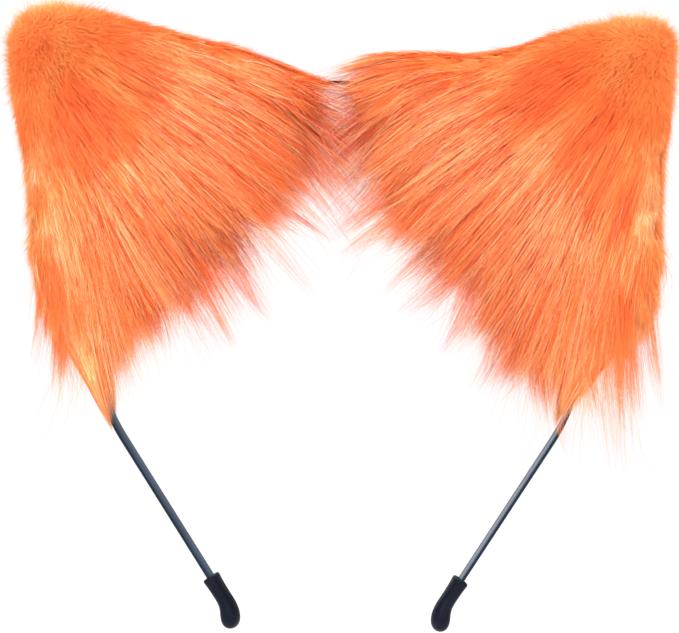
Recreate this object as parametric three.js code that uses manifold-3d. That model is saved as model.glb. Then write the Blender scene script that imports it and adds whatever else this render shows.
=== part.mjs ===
// Animal ears headband: two padded fur ears on a sprung steel hair band with rubber end caps.
// Millimetres. The origin is the middle of the crown's underside. Seen from the front, which is -Y, +X
// points to the right and +Z up. The right side is built, and mirrored for the left.
import * as THREE from "three";
import { mergeVertices } from "three/addons/utils/BufferGeometryUtils.js";
import Module from "manifold-3d";

const wasm = await Module();
wasm.setup();

const rad = THREE.MathUtils.degToRad;

// Driving dimensions
const CLEARANCE = 0.3; // between neighbouring pieces
const CROWN_RADIUS = 67.5; // inside of the band over the head
const SHOULDER_RADIUS = 56.4; // inside of the band where it turns in towards the neck
const SHOULDER_TURN = 32.7; // degrees
const LEG_LENGTH = 45; // straight stretch down to the mouth of the cap
const STRIP_WIDTH = 5;
const STRIP_THICKNESS = 0.8;
const STRIP_STEP = 4; // length of one flat facet of the bent strip
const CROWN_FACETS = 5; // odd, so that the middle one is level
const LEG_TWIST = 11.5; // degrees that the legs turn their inner face to the front
const TWIST_START = 84; // degrees round the crown arc, past the reach of the ears

const CAP_SOCKET = 7.5; // depth that the strip enters the cap
const CAP_BEND_TURN = -27.7; // degrees, back towards upright
const CAP_BEND_LENGTH = 5;
const CAP_TAIL = 3.6;
const CAP_FLATTEN = 0.25; // how much wider than round the cap gets towards its mouth
const CAP_BULB_FLATTEN = 1.4; // width over thickness at the bulb
const CAP_SIDES = 24;

const FELT_FROM = 14; // degrees round the crown arc
const FELT_TO = 64;
const FELT_THICKNESS = 2;
const FELT_CHEEK = 1.4;
const UNDER_FELT_FLOOR = 1.5;
const FELT_STEP = 4;
const STITCH_COUNT = 5;
const STITCH_THREAD = 0.6;
const STITCH_CORNER = 0.9;
const STITCH_END_MARGIN = 4; // degrees from the felt's end to the first and last stitch

const RIM_WALL = 2.6; // fur at the rim of the ear
const RIM_FOLD_Y = 4; // where the back of the rim starts to dome
const DOME_BACK_Y = 12;
const DOME_FRONT_Y = -13;
const WIRE_DIAMETER = 1.5;
const RIM_TO_WIRE = 4.1;
const RIM_TO_PADDING = 5.6;
const OUTLINE_STEPS = 44;
const DOME_RINGS = 5;
const EAR_MIDDLE = new THREE.Vector2(54, -22);
const EAR_OPEN_TO_X = 14.5; // the rim wall stops here, clear of the crown's hinge
const WIRE_FROM_X = 29; // the wire's two ends stand on the felt sleeve and near the lower corner
const WIRE_LOWEST = -56;
const PADDING_FROM_X = 34;
const PADDING_LOWEST = -50;
const BACK_HEM_RADIUS = 63; // the back fur ends just inside the band's arc

const feltHalfWidth = STRIP_WIDTH / 2 + CLEARANCE + FELT_CHEEK;
const feltTop = STRIP_THICKNESS + CLEARANCE + FELT_THICKNESS;
const feltBottom = -CLEARANCE - UNDER_FELT_FLOOR;
const stitchHalfWidth = feltHalfWidth + CLEARANCE + STITCH_THREAD;
const stitchTop = feltTop + CLEARANCE + STITCH_THREAD;
const panelY = stitchHalfWidth + CLEARANCE; // inner faces of the front and back fur
const crownHalf = (STRIP_STEP * CROWN_FACETS) / 2;
const crownDrop = CROWN_RADIUS * (1 - Math.cos(STRIP_STEP / 2 / CROWN_RADIUS));
const shoulderStart = CROWN_RADIUS * rad(90);
const legStart = shoulderStart + SHOULDER_RADIUS * rad(SHOULDER_TURN);
const capMouth = legStart + LEG_LENGTH;
const stripEnd = capMouth + CAP_SOCKET;

// Materials
const STEEL = { color: 0x1b2430, roughness: 0.35, metalness: 0.8 };
const RUBBER = { color: 0x0e131b, roughness: 0.7, metalness: 0 };
const FUR = { color: 0xff8c50, roughness: 0.9, metalness: 0 };
const BACK_FUR = { color: 0xf07c42, roughness: 0.9, metalness: 0 };
const PADDING = { color: 0xf2ece2, roughness: 1, metalness: 0 };
const WIRE = { color: 0xb9bdc2, roughness: 0.4, metalness: 0.9 };
const FELT = { color: 0xe67a3c, roughness: 1, metalness: 0 };
const THREAD = { color: 0xd2622c, roughness: 0.8, metalness: 0 };

function namedMesh(name, geometry, finish) {
  const mesh = new THREE.Mesh(geometry, new THREE.MeshStandardMaterial(finish));
  mesh.name = name;
  return mesh;
}

// Solids joined and cut by manifold-3d
function toSolid(geometry) {
  const bare = new THREE.BufferGeometry();
  bare.setAttribute("position", geometry.getAttribute("position").clone());
  if (geometry.index) bare.setIndex(geometry.index.clone());
  const merged = mergeVertices(bare, 1e-3);
  const vertProperties = new Float32Array(merged.attributes.position.array);
  const triVerts = new Uint32Array(merged.index.array);
  return new wasm.Manifold(new wasm.Mesh({ numProp: 3, vertProperties, triVerts }));
}

function fromSolid(solid) {
  const mesh = solid.getMesh();
  const geometry = new THREE.BufferGeometry();
  geometry.setAttribute("position", new THREE.BufferAttribute(mesh.vertProperties, 3));
  geometry.setIndex(new THREE.BufferAttribute(mesh.triVerts, 1));
  geometry.computeVertexNormals();
  return geometry;
}

const cut = (geometry, cutter) => fromSolid(toSolid(geometry).subtract(toSolid(cutter)));

// The band's line, from the middle of the crown's underside to the end of the right cap
const ROUTE = [
  { length: shoulderStart, turn: rad(90) },
  { length: legStart - shoulderStart, turn: rad(SHOULDER_TURN) },
  { length: LEG_LENGTH + CAP_SOCKET, turn: 0 },
  { length: CAP_BEND_LENGTH, turn: rad(CAP_BEND_TURN) },
  { length: CAP_TAIL, turn: 0 },
];

// Place and downward heading at a distance along the line. A negative distance is on the left.
function bandAt(distance) {
  const side = distance < 0 ? -1 : 1;
  let left = Math.abs(distance);
  let x = 0;
  let z = crownDrop;
  let heading = 0;
  for (const { length, turn } of ROUTE) {
    const step = Math.min(left, length);
    if (turn === 0) {
      x += step * Math.cos(heading);
      z -= step * Math.sin(heading);
    } else {
      const radius = length / turn;
      const next = heading + step / radius;
      x += radius * (Math.sin(next) - Math.sin(heading));
      z += radius * (Math.cos(next) - Math.cos(heading));
      heading = next;
    }
    left -= step;
  }
  return { x: side * x, z, heading: side * heading };
}

function twistAt(distance) {
  const start = CROWN_RADIUS * rad(TWIST_START);
  return rad(LEG_TWIST) * THREE.MathUtils.smoothstep(distance, start, legStart);
}

// Bends a piece made straight (X across the strip, Y away from the head, Z along it) onto the line.
function bendAlongBand(geometry) {
  const position = geometry.getAttribute("position");
  for (let i = 0; i < position.count; i++) {
    const across = position.getX(i);
    const out = position.getY(i);
    const along = position.getZ(i);
    const { x, z, heading } = bandAt(along);
    const twist = twistAt(along);
    const away = out * Math.cos(twist) - across * Math.sin(twist);
    const y = across * Math.cos(twist) + out * Math.sin(twist);
    position.setXYZ(i, x + away * Math.sin(heading), y, z + away * Math.cos(heading));
  }
  geometry.computeVertexNormals();
  return geometry;
}

function bentBar(width, bottom, top, from, to, step) {
  const facets = Math.round((to - from) / step);
  const bar = new THREE.BoxGeometry(width, top - bottom, to - from, 1, 1, facets);
  bar.translate(0, (top + bottom) / 2, (from + to) / 2);
  return bendAlongBand(bar);
}

function stripLength(from, to) {
  return bentBar(STRIP_WIDTH, 0, STRIP_THICKNESS, from, to, STRIP_STEP);
}

// A moulded cap: an open flattened mouth, a neck and a rounded bulb, with a socket for the strip
function endCap() {
  const length = CAP_SOCKET + CAP_BEND_LENGTH + CAP_TAIL;
  const halfThickness = [
    [1.9, 0],
    [2.15, 0.25],
    [2.12, 1.6],
    [2, 6.2],
    [2.2, 9],
    [2.62, 12],
    [2.45, 14.2],
    [1.6, 15.6],
    [0, length],
  ].map(([radius, along]) => new THREE.Vector2(radius, along));
  const profile = [new THREE.Vector2(0, 0), ...halfThickness];
  const body = new THREE.LatheGeometry(profile, CAP_SIDES).rotateX(rad(90));
  const position = body.getAttribute("position");
  for (let i = 0; i < position.count; i++) {
    const along = position.getZ(i);
    const wider = CAP_BULB_FLATTEN + CAP_FLATTEN * (1 - along / length);
    position.setX(i, position.getX(i) * wider);
    position.setZ(i, capMouth + along);
  }
  body.translate(0, STRIP_THICKNESS / 2, 0);
  const socketWidth = STRIP_WIDTH + 2 * CLEARANCE;
  const socketEnd = stripEnd + CLEARANCE;
  const top = STRIP_THICKNESS + CLEARANCE;
  const socket = bentBar(socketWidth, -CLEARANCE, top, capMouth - 1, socketEnd, STRIP_STEP);
  return cut(bendAlongBand(body), socket);
}

// Felt sleeve round the strip at the base of an ear, lashed with thread
function baseFelt() {
  const from = CROWN_RADIUS * rad(FELT_FROM);
  const to = CROWN_RADIUS * rad(FELT_TO);
  return bentBar(2 * feltHalfWidth, STRIP_THICKNESS + CLEARANCE, feltTop, from, to, FELT_STEP);
}

function underFelt() {
  const from = CROWN_RADIUS * rad(FELT_FROM);
  const length = CROWN_RADIUS * rad(FELT_TO) - from;
  const grooveHalf = STRIP_WIDTH / 2 + CLEARANCE;
  const section = new THREE.Shape();
  section.moveTo(-feltHalfWidth, feltBottom);
  section.lineTo(feltHalfWidth, feltBottom);
  section.lineTo(feltHalfWidth, STRIP_THICKNESS);
  section.lineTo(grooveHalf, STRIP_THICKNESS);
  section.lineTo(grooveHalf, -CLEARANCE);
  section.lineTo(-grooveHalf, -CLEARANCE);
  section.lineTo(-grooveHalf, STRIP_THICKNESS);
  section.lineTo(-feltHalfWidth, STRIP_THICKNESS);
  section.closePath();
  const steps = Math.round(length / FELT_STEP);
  const channel = new THREE.ExtrudeGeometry(section, { depth: length, steps, bevelEnabled: false });
  return bendAlongBand(channel.translate(0, 0, from));
}

function roundedRectangle(path, halfWidth, bottom, top, corner) {
  path.moveTo(halfWidth - corner, bottom);
  path.absarc(halfWidth - corner, bottom + corner, corner, rad(-90), 0);
  path.absarc(halfWidth - corner, top - corner, corner, 0, rad(90));
  path.absarc(corner - halfWidth, top - corner, corner, rad(90), rad(180));
  path.absarc(corner - halfWidth, bottom + corner, corner, rad(180), rad(270));
  path.closePath();
  return path;
}

function stitchLoop(angle) {
  const outer = feltBottom - CLEARANCE - STITCH_THREAD;
  const loop = roundedRectangle(new THREE.Shape(), stitchHalfWidth, outer, stitchTop, STITCH_CORNER);
  const innerHalf = stitchHalfWidth - STITCH_THREAD;
  const innerTop = stitchTop - STITCH_THREAD;
  const innerCorner = STITCH_CORNER - STITCH_THREAD;
  const hole = new THREE.Path();
  loop.holes.push(roundedRectangle(hole, innerHalf, outer + STITCH_THREAD, innerTop, innerCorner));
  const settings = { depth: STITCH_THREAD, bevelEnabled: false, curveSegments: 3 };
  const thread = new THREE.ExtrudeGeometry(loop, settings);
  return bendAlongBand(thread.translate(0, 0, CROWN_RADIUS * rad(angle) - STITCH_THREAD / 2));
}

// The rim of the ear: along its top edge from the middle of the head, round the tip, and down outside
const RIM = new THREE.CatmullRomCurve3(
  [
    [9, 3],
    [20, 4.6],
    [36, 7.8],
    [52, 12.2],
    [64, 15.6],
    [76, 17.7],
    [84, 16.2],
    [88.2, 9.5],
    [88.4, -2],
    [86.8, -20],
    [85.4, -36],
    [82.8, -58],
    [77.5, -72],
  ].map(([x, z]) => new THREE.Vector3(x, z, 0)),
);

// Points of the rim moved into the ear by an inset, as far as a test on each point allows
function rimPoints(inset, keep = () => true) {
  const points = [];
  for (let i = 0; i <= OUTLINE_STEPS; i++) {
    const at = RIM.getPointAt(i / OUTLINE_STEPS);
    const heading = RIM.getTangentAt(i / OUTLINE_STEPS);
    points.push(new THREE.Vector2(at.x + heading.y * inset, at.y - heading.x * inset));
  }
  return points.filter(keep);
}

// The lower edge of the front fur: pointed locks that hang inside the band's arc
const FRINGE = [
  [72.5, -86],
  [66, -76],
  [58, -90],
  [47.5, -69],
  [42, -71],
  [34, -54],
  [28, -55],
  [20, -43.5],
  [13, -46],
  [9.5, -16],
].map(([x, z]) => new THREE.Vector2(x, z));

// Points on an arc round the middle of the crown, from one angle down to another
function arcPoints(radius, from, to, count) {
  const points = [];
  for (let i = 0; i <= count; i++) {
    const angle = rad(THREE.MathUtils.lerp(from, to, i / count));
    points.push(new THREE.Vector2(radius * Math.sin(angle), radius * Math.cos(angle) - CROWN_RADIUS));
  }
  return points;
}

// A closed cushion over an outline in the ear's plane: flat at flatY, upright to rimY, domed to domeY
function domedCushion(outline, flatY, rimY, domeY) {
  const positions = [];
  const indices = [];
  const count = outline.length;
  const addRing = (share, y) => {
    for (const point of outline) {
      const moved = point.clone().lerp(EAR_MIDDLE, share);
      positions.push(moved.x, y, moved.y);
    }
  };
  addRing(0, flatY);
  for (let ring = 0; ring < DOME_RINGS; ring++) {
    const lift = rad((90 * ring) / DOME_RINGS);
    addRing(1 - Math.cos(lift), rimY + (domeY - rimY) * Math.sin(lift));
  }
  const rings = DOME_RINGS + 1;
  const flatMiddle = positions.push(EAR_MIDDLE.x, flatY, EAR_MIDDLE.y) / 3 - 1;
  const domeMiddle = positions.push(EAR_MIDDLE.x, domeY, EAR_MIDDLE.y) / 3 - 1;
  const domesToFront = domeY < flatY;
  const addFace = (a, b, c) => indices.push(...(domesToFront ? [a, b, c] : [a, c, b]));
  for (let i = 0; i < count; i++) {
    const next = (i + 1) % count;
    addFace(flatMiddle, i, next);
    for (let ring = 0; ring < rings - 1; ring++) {
      const low = ring * count;
      const high = low + count;
      addFace(low + i, high + i, high + next);
      addFace(low + i, high + next, low + next);
    }
    const last = (rings - 1) * count;
    addFace(domeMiddle, last + next, last + i);
  }
  const cushion = new THREE.BufferGeometry();
  cushion.setAttribute("position", new THREE.Float32BufferAttribute(positions, 3));
  cushion.setIndex(indices);
  cushion.computeVertexNormals();
  return cushion;
}

// An even slab over an outline in the ear's plane
function slab(outline, frontY, backY) {
  const depth = backY - frontY;
  const plate = new THREE.ExtrudeGeometry(new THREE.Shape(outline), { depth, bevelEnabled: false });
  return plate.rotateX(rad(90)).translate(0, backY, 0);
}

function frontFur() {
  return domedCushion([...rimPoints(0), ...FRINGE], -panelY, -panelY - 2, DOME_FRONT_Y);
}

function backFur() {
  const rimFrontY = -panelY + CLEARANCE;
  const hem = arcPoints(BACK_HEM_RADIUS, 66, 10, 7);
  const body = domedCushion([...rimPoints(0), ...hem], rimFrontY, RIM_FOLD_Y, DOME_BACK_Y);
  const wallInside = rimPoints(RIM_WALL, (point) => point.x > EAR_OPEN_TO_X);
  const lowest = wallInside.at(-1);
  const pocket = [
    new THREE.Vector2(EAR_OPEN_TO_X, 40),
    ...wallInside,
    new THREE.Vector2(lowest.x - 4, lowest.y - 20),
    new THREE.Vector2(-1, lowest.y - 20),
    new THREE.Vector2(-1, 40),
  ];
  return cut(body, slab(pocket, rimFrontY - 2, panelY));
}

// Filling between the two furs, above the felt sleeve and inside the wire
function earPadding() {
  const inside = (point) => point.x > PADDING_FROM_X && point.y > PADDING_LOWEST;
  const edge = rimPoints(RIM_TO_PADDING, inside);
  const base = arcPoints(CROWN_RADIUS + stitchTop + CLEARANCE, 76, 26, 10);
  return slab([...edge, ...base], CLEARANCE - panelY, panelY - CLEARANCE);
}

function rimWire() {
  const points = rimPoints(RIM_TO_WIRE, (point) => point.x > WIRE_FROM_X && point.y > WIRE_LOWEST);
  const path = new THREE.CatmullRomCurve3(points.map((point) => new THREE.Vector3(point.x, 0, point.y)));
  const section = new THREE.Shape().absarc(0, 0, WIRE_DIAMETER / 2, 0, 2 * Math.PI);
  const settings = { steps: OUTLINE_STEPS, curveSegments: 4, bevelEnabled: false, extrudePath: path };
  return new THREE.ExtrudeGeometry(section, settings);
}

// One side of the headband, named for the side that it is on
function halfBand(side) {
  const half = new THREE.Group();
  half.add(namedMesh(`band_${side}_arm`, stripLength(crownHalf + CLEARANCE, stripEnd), STEEL));
  half.add(namedMesh(`${side}_end_cap`, endCap(), RUBBER));
  half.add(namedMesh(`${side}_base_felt`, baseFelt(), FELT));
  half.add(namedMesh(`${side}_under_felt`, underFelt(), FELT));
  const span = FELT_TO - FELT_FROM - 2 * STITCH_END_MARGIN;
  for (let i = 0; i < STITCH_COUNT; i++) {
    const angle = FELT_FROM + STITCH_END_MARGIN + (span * i) / (STITCH_COUNT - 1);
    half.add(namedMesh(`${side}_stitch_${i + 1}`, stitchLoop(angle), THREAD));
  }
  half.add(namedMesh(`${side}_front_fur`, frontFur(), FUR));
  half.add(namedMesh(`${side}_back_fur`, backFur(), BACK_FUR));
  half.add(namedMesh(`${side}_ear_padding`, earPadding(), PADDING));
  half.add(namedMesh(`${side}_rim_wire`, rimWire(), WIRE));
  return half;
}

const headband = new THREE.Group();
headband.add(namedMesh("band_crown", stripLength(-crownHalf, crownHalf), STEEL));
headband.add(halfBand("right"));
const leftHalf = halfBand("left");
leftHalf.scale.x = -1;
headband.add(leftHalf);

export default headband;
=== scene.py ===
import math
from typing import NamedTuple

import bpy
import numpy as np
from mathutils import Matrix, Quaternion, Vector
from mathutils.kdtree import KDTree


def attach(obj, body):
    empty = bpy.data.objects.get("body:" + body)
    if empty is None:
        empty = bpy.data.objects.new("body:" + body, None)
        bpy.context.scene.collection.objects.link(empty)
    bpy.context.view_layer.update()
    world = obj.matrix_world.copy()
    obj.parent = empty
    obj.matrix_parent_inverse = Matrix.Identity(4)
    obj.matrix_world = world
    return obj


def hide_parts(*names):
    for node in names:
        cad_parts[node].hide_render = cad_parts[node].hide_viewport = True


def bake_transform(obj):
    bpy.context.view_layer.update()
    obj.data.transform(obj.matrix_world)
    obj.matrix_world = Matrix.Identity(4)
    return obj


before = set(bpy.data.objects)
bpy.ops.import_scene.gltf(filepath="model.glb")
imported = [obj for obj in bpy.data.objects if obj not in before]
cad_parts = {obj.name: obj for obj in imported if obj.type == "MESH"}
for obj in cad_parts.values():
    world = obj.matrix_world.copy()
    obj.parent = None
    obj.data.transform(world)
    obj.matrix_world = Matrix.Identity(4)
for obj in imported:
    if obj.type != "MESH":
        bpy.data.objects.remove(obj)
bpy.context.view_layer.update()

METRES = 0.001
SIDES = ("left", "right")
UV_NAME = "OFBake"
WHITE = (1, 1, 1, 1)

# ---- the band's line, as in the CAD
CROWN_RADIUS = 67.5
SHOULDER_RADIUS = 56.4
SHOULDER_TURN = math.radians(32.7)
LEG_LENGTH = 45
CAP_SOCKET = 7.5
CAP_BEND_LENGTH = 5
CAP_BEND_TURN = math.radians(-27.7)
CAP_TAIL = 3.6
LEG_TWIST = math.radians(11.5)
TWIST_START = CROWN_RADIUS * math.radians(84)
CROWN_HALF = 10
HINGE_GAP = 0.3
STRIP_WIDTH = 5
STRIP_THICKNESS = 0.8
SHOULDER_START = CROWN_RADIUS * math.pi / 2
LEG_START = SHOULDER_START + SHOULDER_RADIUS * SHOULDER_TURN
CAP_MOUTH = LEG_START + LEG_LENGTH
STRIP_END = CAP_MOUTH + CAP_SOCKET
CAP_LENGTH = CAP_SOCKET + CAP_BEND_LENGTH + CAP_TAIL
ROUTE = (
    (SHOULDER_START, math.pi / 2),
    (LEG_START - SHOULDER_START, SHOULDER_TURN),
    (LEG_LENGTH + CAP_SOCKET, 0),
    (CAP_BEND_LENGTH, CAP_BEND_TURN),
    (CAP_TAIL, 0),
)


def rise(value, low, high):
    """0 up to low, 1 from high on, and smooth between."""
    t = np.clip((value - low) / (high - low), 0, 1)
    return t * t * (3 - 2 * t)


def fall(value, low, high):
    return 1 - rise(value, low, high)


def band_at(distance):
    """Place and downward heading at a distance along the band from the middle of the crown."""
    x, z, heading, left = 0.0, 0.0, 0.0, distance
    for length, turn in ROUTE:
        step = min(left, length)
        if turn == 0:
            x += step * math.cos(heading)
            z -= step * math.sin(heading)
        else:
            radius = length / turn
            after = heading + step / radius
            x += radius * (math.sin(after) - math.sin(heading))
            z += radius * (math.cos(after) - math.cos(heading))
            heading = after
        left -= step
    return x, z, heading


def bend_ring(distance, section):
    """A section's points (across, out), set on the band's line at a distance along it."""
    x, z, heading = band_at(distance)
    twist = LEG_TWIST * float(rise(distance, TWIST_START, LEG_START))
    across, out = section[:, 0], section[:, 1]
    away = out * math.cos(twist) - across * math.sin(twist)
    y = across * math.cos(twist) + out * math.sin(twist)
    return np.stack([x + away * math.sin(heading), y, z + away * math.cos(heading)], axis=1)


# ---- meshes
def mirrored(points, side):
    return points * np.array([-1 if side == "left" else 1, 1, 1])


def new_object(name, mesh, material):
    made = bpy.data.objects.new(name, mesh)
    bpy.context.scene.collection.objects.link(made)
    made.data.materials.append(material)
    return made


def mesh_object(name, points, faces, material, side="right"):
    """A smooth mesh from points in millimetres, mirrored for the left side."""
    if side == "left":
        faces = [face[::-1] for face in faces]
    mesh = bpy.data.meshes.new(name)
    mesh.from_pydata((mirrored(points, side) * METRES).tolist(), [], faces)
    mesh.shade_smooth()
    return new_object(name, mesh, material)


def ring_faces(rings, count, closed):
    """Faces that join rings of points, each to the next, and the last to the first if closed."""
    faces = []
    for ring in range(rings if closed else rings - 1):
        low, high = ring * count, (ring + 1) % rings * count
        for i in range(count):
            after = (i + 1) % count
            faces.append((low + i, low + after, high + after, high + i))
    return faces


def rides(piece, side, node, body):
    """Hides the CAD part that a piece stands for, and attaches the piece to the body that it moves with."""
    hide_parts(f"{side}_{node}")
    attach(piece, f"{side}_{body}")


def loft(rings):
    """Points and faces of a closed skin over rings with the same number of points."""
    count = len(rings[0])
    points = np.concatenate(rings)
    faces = ring_faces(len(rings), count, closed=False)
    faces.append(tuple(range(count))[::-1])
    faces.append(tuple(range(len(points) - count, len(points))))
    return points, faces


def facing_out(points, faces):
    """The same faces, turned round if they face inwards."""
    volume = 0.0
    for face in faces:
        a = points[face[0]]
        for b, c in zip(face[1:-1], face[2:]):
            volume += np.dot(a, np.cross(points[b], points[c]))
    return faces if volume > 0 else [face[::-1] for face in faces]


def superellipse(half_width, half_height, power, count):
    angle = np.arange(count) * 2 * math.pi / count
    cosine, sine = np.cos(angle), np.sin(angle)
    width = np.sign(cosine) * np.abs(cosine) ** (2 / power) * half_width
    height = np.sign(sine) * np.abs(sine) ** (2 / power) * half_height
    return np.stack([width, height], axis=1)


# ---- materials
MIX_FACTOR, MIX_FIRST, MIX_SECOND, MIX_RESULT = 0, 6, 7, 2  # the Mix node's sockets for colours


class Nodes:
    """A short way to write a material's node tree round one Principled shader."""

    def __init__(self, name):
        self.material = bpy.data.materials.new(name)
        self.material.use_nodes = True
        self.tree = self.material.node_tree
        self.shader = self.tree.nodes["Principled BSDF"]

    def add(self, kind, **values):
        node = self.tree.nodes.new("ShaderNode" + kind)
        for key, value in values.items():
            if hasattr(node, key):
                setattr(node, key, value)
            else:
                self.feed(node.inputs[key.replace("_", " ")], value)
        return node

    def feed(self, socket, value):
        if isinstance(value, bpy.types.NodeSocket):
            self.tree.links.new(value, socket)
        else:
            socket.default_value = value

    def set(self, **values):
        for key, value in values.items():
            self.feed(self.shader.inputs[key.replace("_", " ")], value)

    def ramp(self, factor, *stops):
        node = self.add("ValToRGB", Fac=factor)
        elements = node.color_ramp.elements
        while len(elements) < len(stops):
            elements.new(0.5)
        for element, (position, colour) in zip(elements, stops):
            element.position = position
            element.color = (*colour, 1)
        return node.outputs["Color"]

    def noise(self, scale, detail=3.0, roughness=0.5, vector=None):
        values = {"Scale": scale, "Detail": detail, "Roughness": roughness, "Vector": vector or self.place()}
        return self.add("TexNoise", **values).outputs["Fac"]

    def place(self, scale=(1, 1, 1)):
        """Object coordinates in metres, stretched."""
        where = self.add("TexCoord").outputs["Object"]
        return self.add("Mapping", Scale=scale, Vector=where).outputs["Vector"]

    def split(self, vector):
        return self.add("SeparateXYZ", Vector=vector).outputs

    def blend(self, factor, first, second, mode="MIX"):
        node = self.add("Mix", data_type="RGBA", blend_type=mode)
        self.feed(node.inputs[MIX_FACTOR], factor)
        self.feed(node.inputs[MIX_FIRST], first)
        self.feed(node.inputs[MIX_SECOND], second)
        return node.outputs[MIX_RESULT]

    def bump(self, height, depth, strength=1.0):
        """A normal from a height, in metres of depth."""
        node = self.add("Bump", Strength=strength, Distance=depth, Height=height)
        self.set(Normal=node.outputs["Normal"])


def material(describe):
    """A material with the name of the function that describes its nodes."""
    nodes = Nodes(describe.__name__)
    describe(nodes)
    return nodes.material


def grey(value):
    return (value, value, value)


@material
def black_lacquered_steel(nodes):
    """Semi-gloss blue-black lacquer on sprung steel, with fine drawn lines, rubbed spots, and painted shade
    that darkens the edges nearly to black.
    """
    drawn = nodes.noise(900, 4, 0.6, nodes.place((1, 6, 1)))
    cloud = nodes.noise(60, 3)
    colour = nodes.ramp(cloud, (0.3, (0.008, 0.018, 0.038)), (0.7, (0.014, 0.032, 0.066)))
    rubbed = nodes.ramp(nodes.noise(420, 5, 0.7), (0.68, grey(0)), (0.78, grey(1)))
    colour = nodes.blend(rubbed, colour, (0.02, 0.035, 0.065, 1))
    # painted shade: faces turned to the front or the back, which are the strip's narrow edges, are darkened
    # nearly to black
    facing = nodes.split(nodes.add("NewGeometry").outputs["Normal"])
    sideways = nodes.add("Math", operation="ABSOLUTE", Value=facing["Y"])
    edge = nodes.ramp(sideways.outputs[0], (0.45, grey(0)), (0.8, grey(1)))
    colour = nodes.blend(edge, colour, (0.002, 0.003, 0.006, 1))
    rough = nodes.ramp(drawn, (0.3, grey(0.26)), (0.75, grey(0.32)))
    nodes.set(Base_Color=colour, Roughness=rough, Specular_IOR_Level=0.35)
    nodes.set(Specular_Tint=(0.48, 0.72, 1.0, 1))


@material
def moulded_rubber(nodes):
    """Matte navy-black moulded rubber with a fine grain and dusty high spots."""
    grain = nodes.noise(2600, 3, 0.6)
    dust = nodes.ramp(nodes.noise(160, 4, 0.6), (0.45, grey(0)), (0.8, grey(1)))
    colour = nodes.blend(dust, (0.002, 0.003, 0.008, 1), (0.004, 0.006, 0.014, 1))
    rough = nodes.ramp(grain, (0.3, grey(0.42)), (0.7, grey(0.62)))
    nodes.set(Base_Color=colour, Roughness=rough, Specular_IOR_Level=0.08)
    nodes.bump(grain, 0.00002, 0.6)


@material
def orange_felt(nodes):
    """Dense orange felt: matted fibres in several directions and a soft sheen."""
    fibre = nodes.noise(700, 6, 0.75)
    hair = nodes.noise(1500, 4, 0.7, nodes.place((1, 0.2, 1)))
    colour = nodes.ramp(fibre, (0.25, (0.5, 0.09, 0.02)), (0.75, (0.9, 0.27, 0.08)))
    height = nodes.blend(0.5, fibre, hair)
    nodes.set(Base_Color=colour, Roughness=0.95, Sheen_Weight=0.5, Sheen_Roughness=0.5)
    nodes.bump(height, 0.0002, 0.8)


@material
def fur_backing(nodes):
    """Knitted backing of the fur, deep orange between the roots of the pile, made darker and redder than the
    pile so that it also paints the shade deep in the pile.
    """
    knit = nodes.add("TexVoronoi", Scale=900.0, Vector=nodes.place())
    patch = nodes.noise(150, 4)
    # partly painted shade: the backing's colour is its own orange, darkened and reddened to paint the shade
    # between the roots
    colour = nodes.ramp(patch, (0.3, (0.85, 0.1, 0.025)), (0.7, (0.95, 0.16, 0.045)))
    nodes.set(Base_Color=colour, Roughness=0.95, Sheen_Weight=0.4)
    nodes.bump(knit.outputs["Distance"], 0.0003, 0.7)


@material
def fibre_filling(nodes):
    """Loose off-white fibre filling."""
    fibre = nodes.noise(500, 8, 0.8)
    colour = nodes.ramp(fibre, (0.3, (0.7, 0.66, 0.6)), (0.7, (0.9, 0.88, 0.84)))
    nodes.set(Base_Color=colour, Roughness=1.0, Sheen_Weight=0.3)
    nodes.bump(fibre, 0.0006, 0.9)


@material
def galvanised_wire(nodes):
    """Drawn galvanised wire."""
    spangle = nodes.noise(700, 3)
    colour = nodes.ramp(spangle, (0.35, grey(0.4)), (0.65, (0.58, 0.6, 0.62)))
    rough = nodes.ramp(spangle, (0.3, grey(0.25)), (0.7, grey(0.45)))
    nodes.set(Base_Color=colour, Roughness=rough, Metallic=0.95)


@material
def sewing_thread(nodes):
    """Twisted polyester thread, rust orange."""
    place = nodes.place()
    wave = nodes.add("TexWave", Scale=500.0, Distortion=1.0, bands_direction="DIAGONAL", Vector=place)
    twist = wave.outputs["Fac"]
    colour = nodes.ramp(twist, (0.2, (0.34, 0.06, 0.015)), (0.8, (0.66, 0.15, 0.04)))
    nodes.set(Base_Color=colour, Roughness=0.5, Sheen_Weight=0.3)
    nodes.bump(twist, 0.0001, 0.8)


@material
def acrylic_fur(nodes):
    """Acrylic fibres. The map's U is a fibre's tint, from red to pale, and V runs from root to tip, along
    which a painted shade darkens and reddens the fibre towards its root.
    """
    split = nodes.split(nodes.add("UVMap", uv_map=UV_NAME).outputs["UV"])
    tint, along = split["X"], split["Y"]
    shaft = nodes.ramp(
        tint,
        (0.0, (0.34, 0.05, 0.02)),
        (0.08, (0.6, 0.06, 0.018)),
        (0.22, (0.9, 0.12, 0.03)),
        (0.5, (0.98, 0.252, 0.058)),
        (0.75, (0.98, 0.36, 0.095)),
        (1.0, (1.0, 0.77, 0.47)),
    )
    # painted shade: darker and redder towards the root, deep in the pile
    shade = nodes.ramp(along, (0.0, (0.9, 0.4, 0.26)), (0.4, (1.0, 0.88, 0.84)), (1.0, grey(1.0)))
    colour = nodes.blend(1.0, shaft, shade, "MULTIPLY")
    nodes.set(Base_Color=colour, Roughness=0.36, Specular_IOR_Level=0.42)
    nodes.set(Specular_Tint=(1.0, 0.82, 0.66, 1))


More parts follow.
